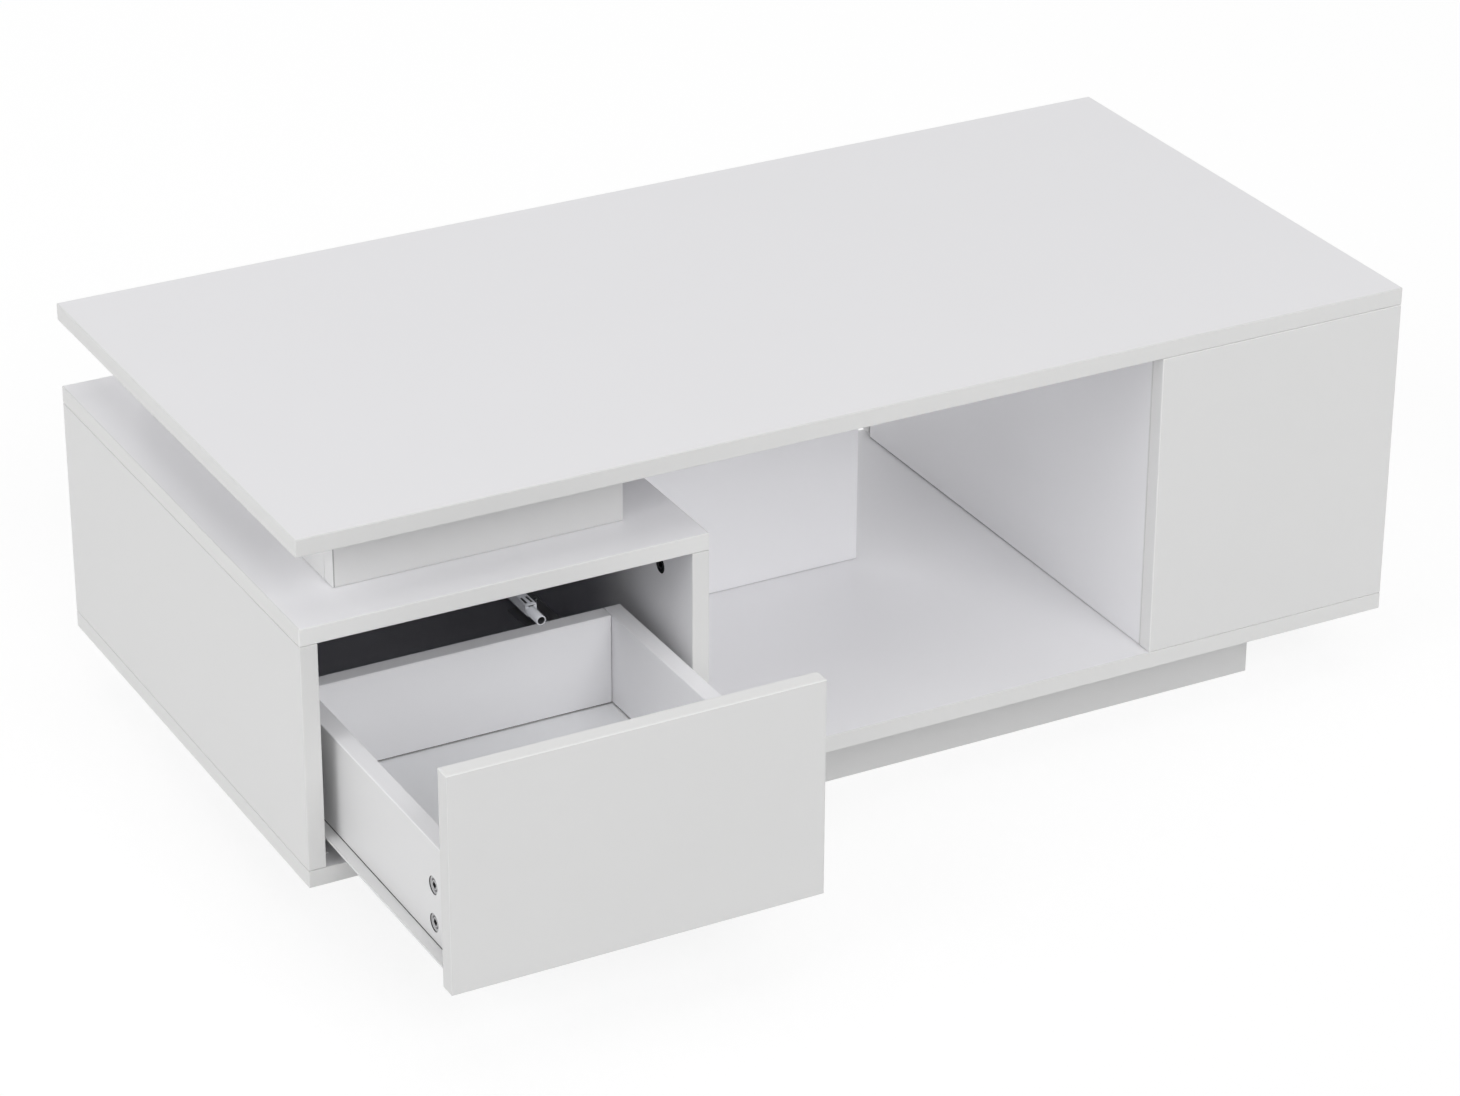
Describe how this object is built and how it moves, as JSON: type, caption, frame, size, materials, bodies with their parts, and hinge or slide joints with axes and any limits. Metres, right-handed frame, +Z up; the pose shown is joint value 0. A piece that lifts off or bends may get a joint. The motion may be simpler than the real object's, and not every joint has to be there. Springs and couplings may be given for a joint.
{
  "type": "coffee table with drawers",
  "caption": "Low rectangular white coffee table: raised top over a left drawer block, open compartment with a partition, and a full-height right block on a set-back plinth.",
  "frame": {"origin": "centre of the table's footprint at floor level, on the underside of the plinth's middle brace", "axes": "+X along the table's length to the viewer's right, +Y from the front to the back, +Z up"},
  "size_m": [1, 0.71, 0.36],
  "materials": {
    "board": "white laminated board, satin, fine-textured",
    "drawer_bottom": "white-faced hardboard, satin",
    "runner": "white powder-coated pressed steel",
    "roller": "moulded nylon",
    "cam": "die-cast zinc, dull grey",
    "latch": "moulded plastic, pale grey",
    "spring": "drawn spring wire"
  },
  "bodies": {
    "table": {"table_top": "board", "bottom_board": "board", "plinth_front": "board", "plinth_back": "board", "plinth_left": "board", "plinth_brace": "board", "plinth_right": "board", "riser_front": "board", "riser_back": "board", "riser_left": "board", "riser_right": "board", "left_block_top": "board", "left_block_outer_side": "board", "left_block_inner_side": "board", "left_block_back": "board", "right_block_front_panel": "board", "right_block_divider": "board", "right_block_outer_side": "board", "middle_partition": "board", "front_drawer_fixed_runner_left": "runner", "front_drawer_fixed_runner_right": "runner", "front_drawer_latch_body": "latch", "front_drawer_latch_spring": "spring", "rear_drawer_fixed_runner_left": "runner", "rear_drawer_fixed_runner_right": "runner", "rear_drawer_latch_body": "latch", "rear_drawer_latch_spring": "spring"},
    "front_drawer": {"front_drawer_front": "board", "front_drawer_side_left": "board", "front_drawer_side_right": "board", "front_drawer_back": "board", "front_drawer_bottom": "drawer_bottom", "front_drawer_sliding_runner_left": "runner", "front_drawer_cam_left_low": "cam", "front_drawer_cam_left_high": "cam", "front_drawer_sliding_runner_right": "runner", "front_drawer_cam_right_low": "cam", "front_drawer_cam_right_high": "cam"},
    "front_drawer_latch_plunger": {"front_drawer_latch_plunger": "latch"},
    "front_drawer_fixed_roller_left": {"front_drawer_fixed_roller_left": "roller"},
    "front_drawer_fixed_roller_right": {"front_drawer_fixed_roller_right": "roller"},
    "front_drawer_sliding_roller_left": {"front_drawer_sliding_roller_left": "roller"},
    "front_drawer_sliding_roller_right": {"front_drawer_sliding_roller_right": "roller"},
    "rear_drawer": {"rear_drawer_front": "board", "rear_drawer_side_left": "board", "rear_drawer_side_right": "board", "rear_drawer_back": "board", "rear_drawer_bottom": "drawer_bottom", "rear_drawer_sliding_runner_left": "runner", "rear_drawer_cam_left_low": "cam", "rear_drawer_cam_left_high": "cam", "rear_drawer_sliding_runner_right": "runner", "rear_drawer_cam_right_low": "cam", "rear_drawer_cam_right_high": "cam"},
    "rear_drawer_latch_plunger": {"rear_drawer_latch_plunger": "latch"},
    "rear_drawer_fixed_roller_left": {"rear_drawer_fixed_roller_left": "roller"},
    "rear_drawer_fixed_roller_right": {"rear_drawer_fixed_roller_right": "roller"},
    "rear_drawer_sliding_roller_left": {"rear_drawer_sliding_roller_left": "roller"},
    "rear_drawer_sliding_roller_right": {"rear_drawer_sliding_roller_right": "roller"}
  },
  "joints": [
    {"name": "front_drawer_slide", "type": "slide", "parent": "table", "child": "front_drawer", "axis": [0, -1, 0], "range_m": [-0.222, 0]},
    {"name": "front_latch_push", "type": "slide", "parent": "table", "child": "front_drawer_latch_plunger", "axis": [0, 1, 0], "range_m": [0, 0.0164], "deforming": ["front_drawer_latch_spring"]},
    {"name": "front_fixed_roller_left_spin", "type": "hinge", "parent": "table", "child": "front_drawer_fixed_roller_left", "pos_m": [-0.47955, -0.2177, 0.0882], "axis": [1, 0, 0], "range_deg": [-1540, 10]},
    {"name": "front_fixed_roller_right_spin", "type": "hinge", "parent": "table", "child": "front_drawer_fixed_roller_right", "pos_m": [-0.17245, -0.2177, 0.0882], "axis": [1, 0, 0], "range_deg": [-1540, 10]},
    {"name": "front_sliding_roller_left_spin", "type": "hinge", "parent": "front_drawer", "child": "front_drawer_sliding_roller_left", "pos_m": [-0.47955, -0.16, 0.08505], "axis": [1, 0, 0], "range_deg": [-1540, 10]},
    {"name": "front_sliding_roller_right_spin", "type": "hinge", "parent": "front_drawer", "child": "front_drawer_sliding_roller_right", "pos_m": [-0.17245, -0.16, 0.08505], "axis": [1, 0, 0], "range_deg": [-1540, 10]},
    {"name": "rear_drawer_slide", "type": "slide", "parent": "table", "child": "rear_drawer", "axis": [0, 1, 0], "range_m": [-0.002, 0.22]},
    {"name": "rear_latch_push", "type": "slide", "parent": "table", "child": "rear_drawer_latch_plunger", "axis": [0, 1, 0], "range_m": [-0.0002, 0.0162], "deforming": ["rear_drawer_latch_spring"]},
    {"name": "rear_fixed_roller_left_spin", "type": "hinge", "parent": "table", "child": "rear_drawer_fixed_roller_left", "pos_m": [0.47955, 0.2177, 0.0882], "axis": [1, 0, 0], "range_deg": [-1530, 20]},
    {"name": "rear_fixed_roller_right_spin", "type": "hinge", "parent": "table", "child": "rear_drawer_fixed_roller_right", "pos_m": [0.28545, 0.2177, 0.0882], "axis": [1, 0, 0], "range_deg": [-1530, 20]},
    {"name": "rear_sliding_roller_left_spin", "type": "hinge", "parent": "rear_drawer", "child": "rear_drawer_sliding_roller_left", "pos_m": [0.47955, -0.06, 0.08505], "axis": [1, 0, 0], "range_deg": [-1530, 20]},
    {"name": "rear_sliding_roller_right_spin", "type": "hinge", "parent": "rear_drawer", "child": "rear_drawer_sliding_roller_right", "pos_m": [0.28545, -0.06, 0.08505], "axis": [1, 0, 0], "range_deg": [-1530, 20]}
  ],
  "couplings": [
    {"joint": "front_latch_push", "follows": "front_drawer_slide", "ratio": -0.073423},
    {"joint": "front_fixed_roller_left_spin", "follows": "front_drawer_slide", "rad_per_m": 120.48},
    {"joint": "front_fixed_roller_right_spin", "follows": "front_drawer_slide", "rad_per_m": 120.48},
    {"joint": "front_sliding_roller_left_spin", "follows": "front_drawer_slide", "rad_per_m": 120.48},
    {"joint": "front_sliding_roller_right_spin", "follows": "front_drawer_slide", "rad_per_m": 120.48},
    {"joint": "rear_latch_push", "follows": "rear_drawer_slide", "ratio": 0.073423},
    {"joint": "rear_fixed_roller_left_spin", "follows": "rear_drawer_slide", "rad_per_m": -120.48},
    {"joint": "rear_fixed_roller_right_spin", "follows": "rear_drawer_slide", "rad_per_m": -120.48},
    {"joint": "rear_sliding_roller_left_spin", "follows": "rear_drawer_slide", "rad_per_m": -120.48},
    {"joint": "rear_sliding_roller_right_spin", "follows": "rear_drawer_slide", "rad_per_m": -120.48}
  ]
}
